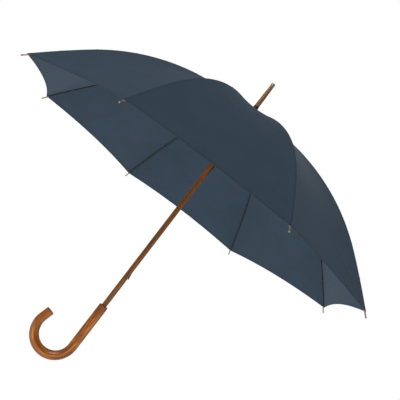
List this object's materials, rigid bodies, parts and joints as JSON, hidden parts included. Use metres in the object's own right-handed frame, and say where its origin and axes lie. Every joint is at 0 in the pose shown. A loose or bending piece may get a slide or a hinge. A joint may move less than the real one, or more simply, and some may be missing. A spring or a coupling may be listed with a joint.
{
  "type": "stick umbrella",
  "caption": "Open stick umbrella: dark slate blue cloth canopy on springy steel ribs, wooden shaft with a sliding runner and spring catches, and a varnished wooden crook handle.",
  "frame": {"origin": "middle of the straight grip, on the axis of the shaft, where a hand holds the umbrella", "axes": "+Z along the shaft towards the ferrule; the crook curls towards -X; +X is the side of the catch springs"},
  "size_m": [0.9726, 0.9726, 0.8877],
  "materials": {
    "canopy_cloth": "dark slate blue plain-weave cloth with a faint sheen",
    "shaft_wood": "satin brown straight-grained wood",
    "handle_wood": "glossy reddish golden brown varnished wood",
    "dark_steel": "dark plated steel",
    "rib_steel": "black enamelled spring steel",
    "tip_metal": "dull bronze-grey plated metal",
    "cap_metal": "dull grey plated metal",
    "black_plastic": "black moulded plastic"
  },
  "bodies": {
    "umbrella_shaft": {"shaft": "shaft_wood", "handle": "handle_wood", "ferrule": "handle_wood", "ferrule_cap": "cap_metal", "crown_ring": "black_plastic", "notch": "black_plastic", "notch_wire": "dark_steel", "stop_pin": "dark_steel"},
    "rib_1": {"rib_1": "rib_steel", "gore_1": "canopy_cloth"},
    "rib_end_1": {"rib_end_1": "rib_steel", "rib_tip_1": "tip_metal"},
    "stretcher_1": {"stretcher_1": "rib_steel"},
    "rib_2": {"rib_2": "rib_steel", "gore_2": "canopy_cloth"},
    "rib_end_2": {"rib_end_2": "rib_steel", "rib_tip_2": "tip_metal"},
    "stretcher_2": {"stretcher_2": "rib_steel"},
    "rib_3": {"rib_3": "rib_steel", "gore_3": "canopy_cloth"},
    "rib_end_3": {"rib_end_3": "rib_steel", "rib_tip_3": "tip_metal", "tie_strap": "canopy_cloth", "strap_snap": "dark_steel"},
    "stretcher_3": {"stretcher_3": "rib_steel"},
    "rib_4": {"rib_4": "rib_steel", "gore_4": "canopy_cloth"},
    "rib_end_4": {"rib_end_4": "rib_steel", "rib_tip_4": "tip_metal"},
    "stretcher_4": {"stretcher_4": "rib_steel"},
    "rib_5": {"rib_5": "rib_steel", "gore_5": "canopy_cloth"},
    "rib_end_5": {"rib_end_5": "rib_steel", "rib_tip_5": "tip_metal"},
    "stretcher_5": {"stretcher_5": "rib_steel"},
    "rib_6": {"rib_6": "rib_steel", "gore_6": "canopy_cloth"},
    "rib_end_6": {"rib_end_6": "rib_steel", "rib_tip_6": "tip_metal"},
    "stretcher_6": {"stretcher_6": "rib_steel"},
    "rib_7": {"rib_7": "rib_steel", "gore_7": "canopy_cloth"},
    "rib_end_7": {"rib_end_7": "rib_steel", "rib_tip_7": "tip_metal"},
    "stretcher_7": {"stretcher_7": "rib_steel"},
    "rib_8": {"rib_8": "rib_steel", "gore_8": "canopy_cloth"},
    "rib_end_8": {"rib_end_8": "rib_steel", "rib_tip_8": "tip_metal"},
    "stretcher_8": {"stretcher_8": "rib_steel"},
    "runner": {"runner": "dark_steel", "runner_wire": "dark_steel"},
    "high_catch": {"high_catch": "dark_steel"},
    "low_catch": {"low_catch": "dark_steel"}
  },
  "joints": [
    {"name": "fold", "type": "hinge", "parent": "umbrella_shaft", "child": "rib_1", "pos_m": [0.00896, 0.00371, 0.669], "axis": [-0.3827, 0.9239, 0], "range_deg": [0, 74.1], "deforming": ["gore_1", "gore_2", "gore_3", "gore_4", "gore_5", "gore_6", "gore_7", "gore_8", "tie_strap", "high_catch", "low_catch"]},
    {"name": "stretcher_1_hinge", "type": "hinge", "parent": "rib_1", "child": "stretcher_1", "pos_m": [0.22777, 0.09435, 0.61478], "axis": [-0.3827, 0.9239, 0], "range_deg": [-148.22, 0]},
    {"name": "rib_end_1_flex", "type": "hinge", "parent": "rib_1", "child": "rib_end_1", "pos_m": [0.23607, 0.09778, 0.61544], "axis": [-0.3827, 0.9239, 0], "range_deg": [-21.74, 0]},
    {"name": "rib_2_hinge", "type": "hinge", "parent": "umbrella_shaft", "child": "rib_2", "pos_m": [0.00371, 0.00896, 0.669], "axis": [-0.9239, 0.3827, 0], "range_deg": [0, 74.11]},
    {"name": "stretcher_2_hinge", "type": "hinge", "parent": "rib_2", "child": "stretcher_2", "pos_m": [0.09435, 0.22777, 0.61478], "axis": [-0.9239, 0.3827, 0], "range_deg": [-148.22, 0]},
    {"name": "rib_end_2_flex", "type": "hinge", "parent": "rib_2", "child": "rib_end_2", "pos_m": [0.09778, 0.23607, 0.61544], "axis": [-0.9239, 0.3827, 0], "range_deg": [-21.74, 0]},
    {"name": "rib_3_hinge", "type": "hinge", "parent": "umbrella_shaft", "child": "rib_3", "pos_m": [-0.00371, 0.00896, 0.669], "axis": [-0.9239, -0.3827, 0], "range_deg": [0, 74.11]},
    {"name": "stretcher_3_hinge", "type": "hinge", "parent": "rib_3", "child": "stretcher_3", "pos_m": [-0.09435, 0.22777, 0.61478], "axis": [-0.9239, -0.3827, 0], "range_deg": [-148.22, 0]},
    {"name": "rib_end_3_flex", "type": "hinge", "parent": "rib_3", "child": "rib_end_3", "pos_m": [-0.09778, 0.23607, 0.61544], "axis": [-0.9239, -0.3827, 0], "range_deg": [-21.74, 0]},
    {"name": "rib_4_hinge", "type": "hinge", "parent": "umbrella_shaft", "child": "rib_4", "pos_m": [-0.00896, 0.00371, 0.669], "axis": [-0.3827, -0.9239, 0], "range_deg": [0, 74.11]},
    {"name": "stretcher_4_hinge", "type": "hinge", "parent": "rib_4", "child": "stretcher_4", "pos_m": [-0.22777, 0.09435, 0.61478], "axis": [-0.3827, -0.9239, 0], "range_deg": [-148.22, 0]},
    {"name": "rib_end_4_flex", "type": "hinge", "parent": "rib_4", "child": "rib_end_4", "pos_m": [-0.23607, 0.09778, 0.61544], "axis": [-0.3827, -0.9239, 0], "range_deg": [-21.74, 0]},
    {"name": "rib_5_hinge", "type": "hinge", "parent": "umbrella_shaft", "child": "rib_5", "pos_m": [-0.00896, -0.00371, 0.669], "axis": [0.3827, -0.9239, 0], "range_deg": [0, 74.11]},
    {"name": "stretcher_5_hinge", "type": "hinge", "parent": "rib_5", "child": "stretcher_5", "pos_m": [-0.22777, -0.09435, 0.61478], "axis": [0.3827, -0.9239, 0], "range_deg": [-148.22, 0]},
    {"name": "rib_end_5_flex", "type": "hinge", "parent": "rib_5", "child": "rib_end_5", "pos_m": [-0.23607, -0.09778, 0.61544], "axis": [0.3827, -0.9239, 0], "range_deg": [-21.74, 0]},
    {"name": "rib_6_hinge", "type": "hinge", "parent": "umbrella_shaft", "child": "rib_6", "pos_m": [-0.00371, -0.00896, 0.669], "axis": [0.9239, -0.3827, 0], "range_deg": [0, 74.11]},
    {"name": "stretcher_6_hinge", "type": "hinge", "parent": "rib_6", "child": "stretcher_6", "pos_m": [-0.09435, -0.22777, 0.61478], "axis": [0.9239, -0.3827, 0], "range_deg": [-148.22, 0]},
    {"name": "rib_end_6_flex", "type": "hinge", "parent": "rib_6", "child": "rib_end_6", "pos_m": [-0.09778, -0.23607, 0.61544], "axis": [0.9239, -0.3827, 0], "range_deg": [-21.74, 0]},
    {"name": "rib_7_hinge", "type": "hinge", "parent": "umbrella_shaft", "child": "rib_7", "pos_m": [0.00371, -0.00896, 0.669], "axis": [0.9239, 0.3827, 0], "range_deg": [0, 74.11]},
    {"name": "stretcher_7_hinge", "type": "hinge", "parent": "rib_7", "child": "stretcher_7", "pos_m": [0.09435, -0.22777, 0.61478], "axis": [0.9239, 0.3827, 0], "range_deg": [-148.22, 0]},
    {"name": "rib_end_7_flex", "type": "hinge", "parent": "rib_7", "child": "rib_end_7", "pos_m": [0.09778, -0.23607, 0.61544], "axis": [0.9239, 0.3827, 0], "range_deg": [-21.74, 0]},
    {"name": "rib_8_hinge", "type": "hinge", "parent": "umbrella_shaft", "child": "rib_8", "pos_m": [0.00896, -0.00371, 0.669], "axis": [0.3827, 0.9239, 0], "range_deg": [0, 74.11]},
    {"name": "stretcher_8_hinge", "type": "hinge", "parent": "rib_8", "child": "stretcher_8", "pos_m": [0.22777, -0.09435, 0.61478], "axis": [0.3827, 0.9239, 0], "range_deg": [-148.22, 0]},
    {"name": "rib_end_8_flex", "type": "hinge", "parent": "rib_8", "child": "rib_end_8", "pos_m": [0.23607, -0.09778, 0.61544], "axis": [0.3827, 0.9239, 0], "range_deg": [-21.74, 0]},
    {"name": "runner_hinge", "type": "hinge", "parent": "stretcher_1", "child": "runner", "pos_m": [0.00896, 0.00371, 0.56055], "axis": [-0.3827, 0.9239, 0], "range_deg": [0, 74.11]},
    {"name": "high_catch_press", "type": "hinge", "parent": "umbrella_shaft", "child": "high_catch", "pos_m": [-0.00225, 0, 0.45615], "axis": [0, -1, 0], "range_deg": [0, 4.5], "stiffness_Nm_per_rad": 1},
    {"name": "low_catch_press", "type": "hinge", "parent": "umbrella_shaft", "child": "low_catch", "pos_m": [-0.00225, 0, 0.192], "axis": [0, 1, 0], "range_deg": [0, 4.5], "stiffness_Nm_per_rad": 1}
  ],
  "couplings": [
    {"joint": "stretcher_1_hinge", "follows": "fold", "ratio": -2},
    {"joint": "rib_end_1_flex", "follows": "fold", "ratio": -0.2932},
    {"joint": "rib_2_hinge", "follows": "fold", "ratio": 1},
    {"joint": "stretcher_2_hinge", "follows": "fold", "ratio": -2},
    {"joint": "rib_end_2_flex", "follows": "fold", "ratio": -0.2932},
    {"joint": "rib_3_hinge", "follows": "fold", "ratio": 1},
    {"joint": "stretcher_3_hinge", "follows": "fold", "ratio": -2},
    {"joint": "rib_end_3_flex", "follows": "fold", "ratio": -0.2932},
    {"joint": "rib_4_hinge", "follows": "fold", "ratio": 1},
    {"joint": "stretcher_4_hinge", "follows": "fold", "ratio": -2},
    {"joint": "rib_end_4_flex", "follows": "fold", "ratio": -0.2932},
    {"joint": "rib_5_hinge", "follows": "fold", "ratio": 1},
    {"joint": "stretcher_5_hinge", "follows": "fold", "ratio": -2},
    {"joint": "rib_end_5_flex", "follows": "fold", "ratio": -0.2932},
    {"joint": "rib_6_hinge", "follows": "fold", "ratio": 1},
    {"joint": "stretcher_6_hinge", "follows": "fold", "ratio": -2},
    {"joint": "rib_end_6_flex", "follows": "fold", "ratio": -0.2932},
    {"joint": "rib_7_hinge", "follows": "fold", "ratio": 1},
    {"joint": "stretcher_7_hinge", "follows": "fold", "ratio": -2},
    {"joint": "rib_end_7_flex", "follows": "fold", "ratio": -0.2932},
    {"joint": "rib_8_hinge", "follows": "fold", "ratio": 1},
    {"joint": "stretcher_8_hinge", "follows": "fold", "ratio": -2},
    {"joint": "rib_end_8_flex", "follows": "fold", "ratio": -0.2932},
    {"joint": "runner_hinge", "follows": "fold", "ratio": 1}
  ]
}
